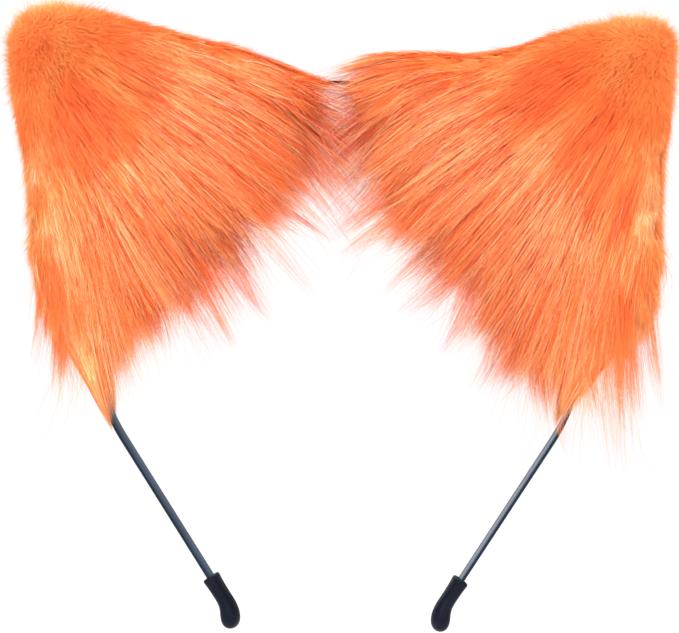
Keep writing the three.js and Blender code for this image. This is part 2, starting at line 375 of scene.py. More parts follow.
@material
def pale_floor(nodes):
    """Pale floor that shows from above only."""
    nodes.set(Base_Color=(0.9, 0.9, 0.9, 1), Roughness=0.95, Specular_IOR_Level=0.0)
    nodes.set(Emission_Color=WHITE, Emission_Strength=0.55)
    clear = nodes.add("BsdfTransparent")
    mix = nodes.add("MixShader")
    nodes.feed(mix.inputs[0], nodes.add("NewGeometry").outputs["Backfacing"])
    nodes.feed(mix.inputs[1], nodes.shader.outputs[0])
    nodes.feed(mix.inputs[2], clear.outputs[0])
    output = nodes.tree.nodes["Material Output"]
    nodes.feed(output.inputs["Surface"], mix.outputs[0])


# ---- camera, lights and floor
CAMERA_DISTANCE = 0.65
CAMERA_AZIMUTH = math.radians(3)
CAMERA_AIM = Vector((0.00055, 0, -0.064))
CAMERA_ROLL = math.radians(0.45)
FRAME_WIDTH = 0.1871  # width of the picture at the band
SENSOR = 36
CLIP_START, CLIP_END = 0.01, 50
FLOOR_Z, FLOOR_HALF = -0.5, 6
FILL_LEVEL = 0.57
SOFTBOXES = (
    # name, place, size, watts
    ("key", (-0.35, -1.1, 0.75), (0.7, 0.7), 29),
    ("fill", (0.9, -0.9, 0.1), (0.7, 0.9), 7),
    ("top", (0.0, 0.25, 1.2), (1.2, 0.8), 9),
    ("back", (0.1, 0.85, 1.0), (0.9, 0.6), 15),
    ("left_glint", (0.52, 0.9, 0.05), (0.1, 0.1), 0.08),
    ("right_glint", (-0.5, 0.95, 0.2), (0.4, 0.4), 0.8),
)


def make_camera():
    camera = bpy.data.objects.new("camera", bpy.data.cameras.new("camera"))
    bpy.context.scene.collection.objects.link(camera)
    back = Vector((math.sin(CAMERA_AZIMUTH), -math.cos(CAMERA_AZIMUTH), 0))
    camera.location = CAMERA_AIM + back * CAMERA_DISTANCE
    upright = (-back).to_track_quat("-Z", "Y")
    camera.rotation_euler = (Quaternion(back, CAMERA_ROLL) @ upright).to_euler()
    camera.data.sensor_width = SENSOR
    camera.data.lens = SENSOR * CAMERA_DISTANCE / FRAME_WIDTH
    camera.data.clip_start, camera.data.clip_end = CLIP_START, CLIP_END
    bpy.context.scene.camera = camera


def softbox(name, place, size, watts):
    """A rectangular lamp that lights the ears and isn't seen itself."""
    lamp = bpy.data.lights.new(name, "AREA")
    lamp.shape = "RECTANGLE"
    lamp.size, lamp.size_y = size
    lamp.energy = watts
    made = bpy.data.objects.new(name, lamp)
    made.location = place
    aim = CAMERA_AIM - Vector(place)
    made.rotation_euler = aim.to_track_quat("-Z", "Y").to_euler()
    made.visible_camera = False
    bpy.context.scene.collection.objects.link(made)


def make_world():
    """White behind everything, and a softer white as fill light."""
    world = bpy.data.worlds.new("studio")
    bpy.context.scene.world = world
    world.use_nodes = True
    tree = world.node_tree
    seen = tree.nodes.new("ShaderNodeLightPath")
    level = tree.nodes.new("ShaderNodeMapRange")
    level.inputs["To Min"].default_value = FILL_LEVEL
    level.inputs["To Max"].default_value = 1.0
    tree.links.new(seen.outputs["Is Camera Ray"], level.inputs["Value"])
    background = tree.nodes["Background"]
    background.inputs["Color"].default_value = WHITE
    tree.links.new(level.outputs["Result"], background.inputs["Strength"])


def make_floor():
    corners = np.array([[-1, -1], [1, -1], [1, 1], [-1, 1]]) * FLOOR_HALF / METRES
    points = np.column_stack([corners, np.full(len(corners), FLOOR_Z / METRES)])
    floor = mesh_object("floor", points, [(0, 1, 2, 3)], pale_floor)


def make_studio():
    make_camera()
    make_world()
    make_floor()
    for lamp in SOFTBOXES:
        softbox(*lamp)
    settings = bpy.context.scene.view_settings
    settings.view_transform = "Standard"
    settings.look = "None"


# ---- band and caps
STRIP_CORNER_POINTS = 3
STRIP_CORNER = 0.22
STRIP_STEP = 1.5


def strip_section():
    """The strip's rounded section, from the side to the head outwards."""
    points = []
    half = STRIP_WIDTH / 2 - STRIP_CORNER
    low, high = STRIP_CORNER, STRIP_THICKNESS - STRIP_CORNER
    corners = ((half, low, -90), (half, high, 0), (-half, high, 90), (-half, low, 180))
    for across, out, start in corners:
        for i in range(STRIP_CORNER_POINTS):
            angle = math.radians(start + 90 * i / (STRIP_CORNER_POINTS - 1))
            points.append((across + STRIP_CORNER * math.cos(angle), out + STRIP_CORNER * math.sin(angle)))
    return np.array(points)


def make_strip(side):
    """Half of the spring strip, from the middle of the crown into the cap."""
    distances = np.linspace(0, STRIP_END, round(STRIP_END / STRIP_STEP))
    section = strip_section()
    points, faces = loft([bend_ring(distance, section) for distance in distances])
    faces = facing_out(points, faces)
    strip = mesh_object(f"{side}_spring_strip", points, faces, black_lacquered_steel, side)
    hinge_x = band_at(CROWN_HALF + HINGE_GAP / 2)[0]
    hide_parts(f"band_{side}_arm", "band_crown")
    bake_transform(strip)


CAP_POINTS = 40
SOCKET_HALVES = (STRIP_THICKNESS / 2 + 0.12, STRIP_WIDTH / 2 + 0.12)
CAP_INSIDE = (
    # distance from the mouth, half thickness, half width, how square the section is
    (CAP_SOCKET + 0.2, *SOCKET_HALVES, 6),
    (1.2, *SOCKET_HALVES, 6),
    (0.25, 0.75, STRIP_WIDTH / 2 + 0.35, 6),
    (-0.02, 1.1, 2.98, 3.5),
)
CAP_SHAPE = (
    # distance from the mouth, half thickness, half width
    (0.0, 1.96, 3.2),
    (0.25, 2.15, 3.4),
    (0.9, 2.2, 3.46),
    (1.6, 2.08, 3.36),
    (3.5, 2.02, 3.25),
    (6.2, 2.0, 3.1),
    (8.0, 2.1, 3.15),
    (9.8, 2.35, 3.35),
    (11.6, 2.6, 3.6),
    (13.2, 2.62, 3.6),
    (14.5, 2.35, 3.3),
    (15.4, 1.75, 2.6),
    (15.9, 1.0, 1.6),
)
CAP_END = (CAP_LENGTH, 0.2, 0.3, 2)  # as CAP_INSIDE


def make_cap(side):
    """A moulded rubber cap: a lipped flat mouth with a socket, a neck and a rounded bulb."""
    middle = np.array([0, STRIP_THICKNESS / 2])
    outside = [(*row, 2.6 - 0.5 * row[0] / CAP_LENGTH) for row in CAP_SHAPE]
    rings = []
    for along, half_thickness, half_width, power in (*CAP_INSIDE, *outside, CAP_END):
        section = superellipse(half_width, half_thickness, power, CAP_POINTS) + middle
        rings.append(bend_ring(CAP_MOUTH + along, section))
    points, faces = loft(rings)
    cap = mesh_object(f"{side}_rubber_cap", points, facing_out(points, faces), moulded_rubber, side)
    smooth = cap.modifiers.new("smooth", "SUBSURF")
    smooth.levels = smooth.render_levels = 1
    rides(cap, side, "end_cap", "arm")


# ---- ear shapes
EAR_MIDDLE = np.array([54.0, -22.0])
EAR_CENTRE = np.insert(EAR_MIDDLE, 1, 0)
RIM_FROM, RIM_TO = math.radians(151), math.radians(-66)
PANEL_Y = 5.4
HEM_RADIUS = 61
DOME_RINGS = 8
RIM_TURN = math.radians(4)
RIM_POINTS = 90
RIM_NEIGHBOURS = 2
RIM_DIP = 0.9  # a point this much nearer than its neighbours isn't on the rim


def mesh_points(mesh):
    """A mesh's vertices, in millimetres."""
    points = np.empty(len(mesh.vertices) * 3)
    mesh.vertices.foreach_get("co", points)
    return points.reshape(-1, 3) / METRES


def ear_rim(inset):
    """The CAD ear's rim in its plane, from the middle of the head round the tip, moved inwards."""
    flat = mesh_points(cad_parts["right_front_fur"].data)[:, [0, 2]]
    away = flat - EAR_MIDDLE
    angle, reach = np.arctan2(away[:, 1], away[:, 0]), np.hypot(away[:, 0], away[:, 1])
    rim = []
    for turn in np.arange(RIM_FROM, RIM_TO, -RIM_TURN):
        near = np.flatnonzero(np.abs(angle - turn) < RIM_TURN / 2)
        if len(near):
            outermost = near[np.argmax(reach[near])]
            rim.append((angle[outermost], reach[outermost]))
    rim = np.array(rim)
    windows = [slice(max(0, i - RIM_NEIGHBOURS), i + RIM_NEIGHBOURS + 1) for i in range(len(rim))]
    furthest = np.array([rim[window, 1].max() for window in windows])
    rim = rim[rim[:, 1] > RIM_DIP * furthest]
    turns = np.linspace(rim[0, 0], rim[-1, 0], RIM_POINTS)
    reaches = np.interp(-turns, -rim[:, 0], rim[:, 1])
    rim = EAR_MIDDLE + reaches[:, None] * np.stack([np.cos(turns), np.sin(turns)], axis=1)
    heading = np.gradient(rim, axis=0)
    heading /= np.linalg.norm(heading, axis=1)[:, None]
    return rim + np.stack([heading[:, 1], -heading[:, 0]], axis=1) * inset


def shaped(points, side):
    """Small differences of cut and stuffing between the two ears, in millimetres."""
    x, z = points[..., 0], points[..., 2]

    def hill(top_x, top_z, spread):
        return np.exp(-((x - top_x) ** 2 + (z - top_z) ** 2) / spread)

    def ridge(top_x, half_width):
        return np.exp(-(((x - top_x) / half_width) ** 2))

    moved = points.copy()
    high = rise(z, -34, 4)
    low = rise(-z, 24, 60)
    outer = rise(x, 58, 86)
    if side == "left":
        tip = hill(85, 14, 90)
        moved[..., 2] += high * (3.0 * rise(x, 15, 36) - 1.3 * rise(x, 48, 74)) - 0.1 * tip
        moved[..., 0] += 0.9 * tip + (0.4 - 2.0 * rise(-z, 2, 30) - 0.5 * low) * outer
    else:
        corner = hill(88, 10, 36)
        moved[..., 0] += (0.9 + 0.3 * low) * outer + 0.7 * corner
        moved[..., 2] -= 1.7 * high * ridge(54, 20)
        moved[..., 2] -= 1.7 * hill(75, 15, 100)
        moved[..., 2] += 1.7 * high * ridge(25, 9) + 2.4 * corner
    return moved


def arc(radius, from_degrees, to_degrees, count):
    """Points round the middle of the crown's arc."""
    angle = np.radians(np.linspace(from_degrees, to_degrees, count))
    return np.stack([radius * np.sin(angle), radius * np.cos(angle) - CROWN_RADIUS], axis=1)


def cushion(outline, middle, flat_y, rim_y, dome_y):
    """Points and faces of a closed cushion over an outline: flat on one side, domed on the other."""
    rings = [np.insert(outline, 1, flat_y, axis=1)]
    for ring in range(DOME_RINGS):
        lift = math.pi / 2 * ring / DOME_RINGS
        moved = middle + (outline - middle) * math.cos(lift)
        rings.append(np.insert(moved, 1, rim_y + (dome_y - rim_y) * math.sin(lift), axis=1))
    points, faces = loft(rings)
    return points, facing_out(points, faces)


# ---- padded pieces by cloth simulation
CLOTH_FRAMES = 20
CLOTH_PRESSURE = 4.0
PADDING_RIM = slice(14, -9)  # the part of the rim's points that is clear of the felts


def moved_points(obj):
    """The vertices of an object's mesh with its modifiers."""
    evaluated = obj.evaluated_get(bpy.context.evaluated_depsgraph_get())
    points = mesh_points(evaluated.to_mesh())
    evaluated.to_mesh_clear()
    return points


def apply_modifiers(obj):
    graph = bpy.context.evaluated_depsgraph_get()
    final = bpy.data.meshes.new_from_object(obj.evaluated_get(graph))
    obj.modifiers.clear()
    obj.data = final
    obj.data.shade_smooth()


def inflated(points, faces, voxel, swell):
    """A piece remeshed and blown up a little by cloth pressure, as stuffed fabric is."""
    draft = mesh_object("draft", points, faces, fur_backing)
    remesh = draft.modifiers.new("remesh", "REMESH")
    remesh.mode = "VOXEL"
    remesh.voxel_size = voxel * METRES
    apply_modifiers(draft)
    start = mesh_points(draft.data)
    scene = bpy.context.scene
    cloth = draft.modifiers.new("cloth", "CLOTH")
    cloth.settings.use_pressure = True
    cloth.settings.uniform_pressure_force = CLOTH_PRESSURE
    cloth.settings.effector_weights.gravity = 0
    cloth.point_cache.frame_start, cloth.point_cache.frame_end = 1, CLOTH_FRAMES
    for frame_number in range(1, CLOTH_FRAMES + 1):
        scene.frame_set(frame_number)
    moved = moved_points(draft)
    draft.modifiers.clear()
    scene.frame_set(1)
    shift = moved - start
    length = np.linalg.norm(shift, axis=1)[:, None]
    capped = start + shift * np.minimum(1, swell / np.maximum(length, 1e-6))
    draft.data.vertices.foreach_set("co", (capped * METRES).ravel())
    draft.data.update()
    finer = draft.modifiers.new("finer", "SUBSURF")
    finer.levels = finer.render_levels = 1
    apply_modifiers(draft)
    points = mesh_points(draft.data)
    faces = [tuple(polygon.vertices) for polygon in draft.data.polygons]
    bpy.data.objects.remove(draft)
    return points, faces


def soft_noise(points, size, rng, waves=12):
    """A smooth random field from -1 to 1 over points, made of a few plane waves."""
    total = np.zeros(len(points))
    for _ in range(waves):
        direction = rng.normal(size=points.shape[1])
        direction /= np.linalg.norm(direction)
        turns = points @ direction / (size * rng.uniform(0.7, 1.6))
        total += np.sin(2 * math.pi * turns + rng.uniform(0, 2 * math.pi))
    return np.clip(total / math.sqrt(waves), -1, 1)


def padded_piece(name, shape, material, side, node):
    points, faces = shape
    piece = mesh_object(f"{side}_{name}", shaped(points, side), faces, material, side)
    rides(piece, side, node, "ear")


def front_panel_shape():
    outline = np.concatenate([ear_rim(0.5), arc(HEM_RADIUS, from_degrees=76, to_degrees=9, count=12)])
    points, faces = cushion(outline, EAR_MIDDLE, flat_y=0.3 - PANEL_Y, rim_y=-PANEL_Y - 1.0, dome_y=-10.4)
    return inflated(points, faces, voxel=1.7, swell=1.0)


def back_panel_shape():
    """The CAD back fur, thinned to its backing fabric."""
    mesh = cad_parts["right_back_fur"].data
    points = mesh_points(mesh)
    faces = [tuple(polygon.vertices) for polygon in mesh.polygons]
    centre = np.insert(EAR_MIDDLE, 1, 3)
    outer = points + (centre - points) * np.array([0.035, 0.12, 0.035])
    return inflated(outer, faces, voxel=1.2, swell=0.5)


def padding_shape():
    """Filling inside the rim wire, down to an arc just above the felts."""
    above = arc(73.2, from_degrees=74, to_degrees=28, count=10)
    outline = np.concatenate([ear_rim(6.6)[PADDING_RIM], above])
    points, faces = cushion(outline, outline.mean(axis=0), flat_y=-4.2, rim_y=0, dome_y=4.2)
    return inflated(points, faces, voxel=2.5, swell=0.8)


# ---- fur
FAN_POINT = np.array([100.0, 28.0])  # the pile fans out from just beyond the ear's tip
TRIANGLES_A_PIECE = 190_000
PLUSH_LENGTH = 4.5
LONGEST_FIBRE = 54
LOOSE_DEPTH = 8
ALONG_FLOW = np.array([[0.9, 0.25], [-0.9, 0.25]])  # stretches patches of colour along the pile
SEAM_Y = -5.6  # where the front and the back of an ear are sewn together
BEHIND_SEAM = -5.2
TURNED_AWAY = -0.35  # the least that a surface with pile faces its own side
FRONT_ROOM, BACK_ROOM = 22.5, 21.5
BACK_AMOUNT = 0.52  # the back's share of the front's fibres
FIBRE_TAPER, TAPER_POWER = 0.78, 1.6
TINT_WIDTH = 0.02  # of a fibre on the map
OFF_THE_FLOW = np.array([0.31, -0.87, 0.38])  # a direction that no fibre keeps to
MAIN_LOCK_DEPTH, MAIN_LOCK_BULGE = 4.6, 3.5
# share of the accent fibres that are pale, as painted highlights; the others are dark, as painted shade
HIGHLIGHT_ACCENT_SHARE = 0.45
CROSSING_TINTS = (0.0, 0.15, 0.3, 0.95)
PLUSH_ROOT_SHADE = 0.45


class Cut(NamedTuple):
    """How one ear's pile is cut: shares of its length, and places in the ear's plane."""

    inner: float  # shorter towards the middle of the head
    low: float  # shorter low down
    crest: float  # longer at the inner top
    strip: float  # shorter where the strip comes out
    hem: float  # where the outer pile ends
    point: tuple  # where the main lock ends


CUTS = {
    "left": Cut(0.56, 0.5, 0.0, 0.14, -66, (61.3, -96.5)),
    "right": Cut(0.62, 0.22, 0.3, 0.0, -70.5, (59.5, -94.0)),
}
STRAGGLER_INNER = 0.38
# patches of painted shade in the partings between locks, tinted dark red: ear, x, z, half-lengths across and
# along, and how strongly
PARTING_SHADE_PATCHES = (
    ("right", 75.5, -40, 3.2, 15, 0.95),
    ("right", 38.5, -23, 3.5, 7, 0.4),
    ("left", 17, -18, 6, 9, 0.5),
    ("left", 48, -62, 7, 6, 0.4),
)
# the dark red tint of the painted shade in the partings
PARTING_SHADE_TINT = 0.17


class Spots:
    """Places on an ear, and how far they are from the fan's point, the hem and the rim."""

    def __init__(self, places, rim):
        self.places = places
        self.x, self.y, self.z = places.T
        self.from_tip = np.linalg.norm(places[:, [0, 2]] - FAN_POINT, axis=1)
        self.from_hem = np.hypot(self.x, self.z + CROWN_RADIUS) - HEM_RADIUS
        flat = places[:, None, [0, 2]] - rim[None]
        self.from_rim = np.sqrt((flat ** 2).sum(axis=2)).min(axis=1)


# how densely the fibres of a layer stand
def everywhere(_):
    return 1.0


def tip_and_rim(at):
    near_tip = fall(at.from_tip, 34, 66)
    near_rim = fall(at.from_rim, 3, 12)
    outer = rise(at.x, 66, 78)
    upper = rise(at.z, -4, 5) * fall(at.x, 50, 66)
    seam = np.exp(-(((at.y - SEAM_Y) / 2.5) ** 2)) * rise(at.x, 70, 80)
    return 0.03 + near_tip + near_rim * (1.5 + 1.2 * outer + 0.9 * upper + 2.5 * seam)


def long_area(at):
    thin = 1 - 0.75 * fall(at.x, 12, 34)
    thin *= 1 - 0.35 * fall(at.from_hem, 0, 14) * rise(at.x, 16, 30)
    return (0.12 + rise(at.from_tip, 26, 60)) * thin


def inner_end(at):
    return fall(at.x, 16, 34) * rise(-at.z, -3, 7)


def fringe(at):
    return long_area(at) * (0.4 + 1.6 * fall(at.from_hem, 4, 24))


def hem(at):
    along = rise(at.x, 27, 35) * fall(at.x, 52, 62)
    return fall(at.from_hem, 2, 11) * along


def middle(at):
    inside = rise(at.from_rim, 4, 13) * (1 - 0.9 * rise(at.x, 70, 80))
    return long_area(at) * rise(at.from_tip, 42, 70) * inside


def low_corner(at):
    return rise(at.x, 70, 80) * rise(-at.z, 34, 50)


class Layer(NamedTuple):
    """One kind of fibre: how many a front has, where they stand, how they grow and how they clump."""

    count: int
    density: object
    steps: int  # points on a fibre's path
    longest: float
    spread: float  # of length
    jitter: float  # of heading
    lift: float  # share of the usual angle that it stands up by
    straggling: float  # how much longer one fibre in ten is
    loose: float = 0  # 1 hangs straight down
    radius: tuple = ()
    shares: tuple = ()  # how far a fibre is drawn to its guide
    power: float = 0  # higher keeps the drawing to the fibre's end
    follow: float = 0  # how far its length follows the guide's
    each: int = 0  # one in so many is a guide, or else the tufts are


LOCKS = Layer(150, everywhere, 9, 46, 0.26, 0.08, 1.0, 0.0)
TUFTS = Layer(2600, everywhere, 9, 46, 0.2, 0.08, 1.0, 0.3)
LONG = Layer(26000, long_area, 6, 46, 0.25, 0.06, 1.0, 0.4, 0, (0.055, 0.1))
PLUSH = Layer(46000, tip_and_rim, 3, 12, 0.18, 0.19, 1.0, 0.3, 0, (0.05, 0.09))
ACCENTS = Layer(5400, middle, 7, 46, 0.2, 0.07, 1.15, 0.2, 0, (0.045, 0.07), (0.3, 0.8), 1.3, 0.4)
WISPS = Layer(600, low_corner, 8, 46, 0.25, 0.1, 0.9, 0.2, 1, (0.025, 0.042), (0.5, 0.95), 0.7, 0.5, 28)
STRAGGLERS = Layer(880, hem, 8, 60, 0.28, 0.05, 0.8, 0.0, 0, (0.04, 0.065), (0.65, 0.97), 0.8, 0.7, 44)
GUARDS = Layer(3000, fringe, 8, 52, 0.22, 0.13, 1.1, 0.3, 0.5, (0.028, 0.046), (0.0, 0.9), 1.1, 0.1)
CROSSING = Layer(850, inner_end, 9, 74, 0.25, 0.16, 0.5, 0.2, 0, (0.035, 0.06))


def unit(vectors):
    return vectors / np.maximum(np.linalg.norm(vectors, axis=-1, keepdims=True), 1e-9)


def flattened(paths):
    """The pile pressed so that it stands no deeper than the room round the ear."""
    deep = paths[..., 1]
    room = np.where(deep < 0, FRONT_ROOM, BACK_ROOM) - LOOSE_DEPTH
    over = np.maximum(np.abs(deep) - LOOSE_DEPTH, 0)
    kept = np.minimum(np.abs(deep), LOOSE_DEPTH) + room * np.tanh(over / room)
    pressed = paths.copy()
    pressed[..., 1] = np.sign(deep) * kept
    return pressed


def fibre_lengths(at, layer, cut, rng):
    """Long in the middle of the ear, short at its tip and rim, and cut to the outline of the hem."""
    x, z, count = at.x, at.z, len(at.x)
    edge = np.maximum(rise(at.from_rim, 0.5, 12), 0.8 * rise(at.from_tip, 58, 84))
    length = layer.longest * rise(at.from_tip, 22, 80) ** 1.1
    length *= (1 - cut.inner * rise(-x, -50, -12)) * (1 - cut.low * rise(-z, 26, 54))
    length *= 1 + cut.crest * rise(z, 1, 6) * fall(x, 18, 36)
    mid_hem = rise(x, 8, 18) * fall(x, 50, 62) * fall(at.from_hem, 0, 20)
    length *= 1 - (0.15 + 0.13 * fall(x, 28, 42)) * mid_hem
    length *= 1 - cut.strip * rise(x, 50, 58) * fall(x, 63, 67)
    to_hem = np.maximum(z - cut.hem, 5)
    outer_low = rise(x, 72, 80) * (1 - layer.loose)
    length += outer_low * (np.minimum(length, to_hem) - length)
    length = PLUSH_LENGTH + np.maximum(length - PLUSH_LENGTH, 0) * (0.2 + 0.8 * edge)
    length *= 1 + layer.spread * rng.normal(size=count).clip(-2, 2)
    length *= 1 + layer.straggling * (rng.random(count) < 0.1)
    return np.minimum(length, LONGEST_FIBRE)


def grow(at, normals, layer, cut, rng):
    """Fibre paths: up from the root, then along the flow that fans from the tip, drooping at the end."""
    roots, x, z = at.places, at.x, at.z
    inner = rise(-x, -48, -18)
    plush = fall(at.from_tip, 26, 56) * (1 - 0.5 * inner)
    length = fibre_lengths(at, layer, cut, rng)
    flow = np.insert((roots[:, [0, 2]] - FAN_POINT) / at.from_tip[:, None], 1, 0, axis=1)
    below_edge = rise(at.from_rim, 2, 14)
    flow[:, 2] -= 0.42 * below_edge * inner
    outward = roots - EAR_CENTRE
    outward[:, 1] = 0
    at_rim = fall(at.from_rim, 0, 6)
    flow *= (0.15 + 0.85 * rise(at.from_tip, 16, 46))[:, None]
    if layer is PLUSH:
        free_rim = np.maximum(rise(x, 62, 76), 0.4 * rise(z, -14, -5) * rise(x, 14, 26))
        plush = np.maximum(plush, 0.85 * at_rim * free_rim)
    flow += 0.9 * unit(outward) * (plush * at_rim)[:, None]
    flow = unit(flow + layer.jitter * rng.normal(size=flow.shape).clip(-1.8, 1.8))
    flow = unit(flow - 0.8 * (flow * normals).sum(axis=1)[:, None] * normals)

    def lifted(degrees):
        angle = np.radians(degrees) * layer.lift
        return flow * np.cos(angle)[:, None] + normals * np.sin(angle)[:, None]

    seam = SEAM_Y - at.y
    across = (1.1 * np.sign(seam) * np.exp(-np.abs(seam) / 4) * at_rim)[:, None] * np.array([0, 1.0, 0])
    start, end = unit(lifted(18 + 42 * plush) + across), unit(lifted(-3 + 38 * plush) + 0.6 * across)
    droop = (0.35 * inner * below_edge + 0.9 * layer.loose) * (1 - plush)
    end = unit(end + droop[:, None] * np.array([0.5 * layer.loose, 0, -1.0]))
    paths = [roots]
    for step in range(1, layer.steps):
        turn = rise((step - 0.5) / (layer.steps - 1), 0.0, 0.75)
        heading = unit(start * (1 - turn) + end * turn)
        paths.append(paths[-1] + heading * (length / (layer.steps - 1))[:, None])
    return flattened(np.stack(paths, axis=1)), length


def clump(paths, length, guides, guide_length, share, power, follow):
    """Fibres drawn towards the nearest guide, more towards their tips, and part of the way to its length.

    Also gives the new lengths and each fibre's guide."""
    tree = KDTree(len(guides))
    for i, root in enumerate(guides[:, 0]):
        tree.insert(root, i)
    tree.balance()
    nearest = np.array([tree.find(root)[1] for root in paths[:, 0]])
    wanted = length + (guide_length[nearest] - length) * follow
    roots = paths[:, :1]
    paths = roots + (paths - roots) * (wanted / length)[:, None, None]
    steps, guide_steps = paths.shape[1], guides.shape[1]
    t = np.linspace(0, 1, steps)
    ratio = np.minimum(1, wanted / guide_length[nearest])
    place = t[None] * ratio[:, None] * (guide_steps - 1)
    low = np.minimum(place.astype(int), guide_steps - 2)
    part = (place - low)[..., None]
    chosen = guides[nearest]
    rows = np.arange(len(paths))[:, None]
    guide = chosen[rows, low] * (1 - part) + chosen[rows, low + 1] * part
    share = np.broadcast_to(share, len(paths))
    pull = (share[:, None] * t[None] ** power)[..., None]
    return flattened(paths + (guide - paths) * pull), wanted, nearest


def fibre_mesh(name, paths, radius, tints, side, root_shade):
    """One closed three-sided tapered tube per path. root_shade is where the map's V starts, so a higher one
    leaves less painted shade at the root.
    """
    count, steps = paths.shape[:2]
    tangent = unit(np.gradient(paths, axis=1))
    side_way = unit(np.cross(tangent, OFF_THE_FLOW))
    up_way = np.cross(side_way, tangent)
    t = np.linspace(0, 1, steps)
    width = radius[:, None] * (1 - FIBRE_TAPER * t ** TAPER_POWER)[None]
    angles = np.radians([90, 210, 330])
    body = steps - 1
    ring = (
        paths[:, :body, None]
        + width[:, :body, None, None] * np.cos(angles)[None, None, :, None] * side_way[:, :body, None]
        + width[:, :body, None, None] * np.sin(angles)[None, None, :, None] * up_way[:, :body, None]
    )
    points = np.concatenate([ring.reshape(count, body * 3, 3), paths[:, -1:]], axis=1)
    per_fibre = body * 3 + 1
    tip = per_fibre - 1
    quads = []
    for step in range(body - 1):
        for i in range(3):
            low, after = step * 3 + i, step * 3 + (i + 1) % 3
            quads.append((low, after, after + 3, low + 3))
    last = (body - 1) * 3
    faces = quads + [(last + i, last + (i + 1) % 3, tip) for i in range(3)] + [(2, 1, 0)]
    if side == "left":
        faces = [face[::-1] for face in faces]
    loops = np.concatenate(faces)
    sizes = np.tile([len(face) for face in faces], count)
    mesh = bpy.data.meshes.new(name)
    mesh.vertices.add(count * per_fibre)
    mesh.vertices.foreach_set("co", (mirrored(points.reshape(-1, 3), side) * METRES).ravel())
    all_loops = (loops[None] + per_fibre * np.arange(count)[:, None]).ravel()
    mesh.loops.add(len(all_loops))
    mesh.loops.foreach_set("vertex_index", all_loops.astype(np.int32))
    mesh.polygons.add(len(sizes))
    mesh.polygons.foreach_set("loop_start", (np.cumsum(sizes) - sizes).astype(np.int32))
    across = np.where(loops == tip, TINT_WIDTH / 2, (loops % 3) * TINT_WIDTH / 2)
    u = np.clip(tints, 0.0, 1 - TINT_WIDTH)[:, None] + across[None]
    v = root_shade + (1 - root_shade) * np.append(np.repeat(t[:body], 3), 1.0)
    both = np.stack([u, np.broadcast_to(v[loops][None], u.shape)], axis=2)
    mesh.uv_layers.new(name=UV_NAME).data.foreach_set("uv", both.astype(np.float32).ravel())
    mesh.update(calc_edges=True)
    mesh.shade_smooth()
    return new_object(name, mesh, acrylic_fur)


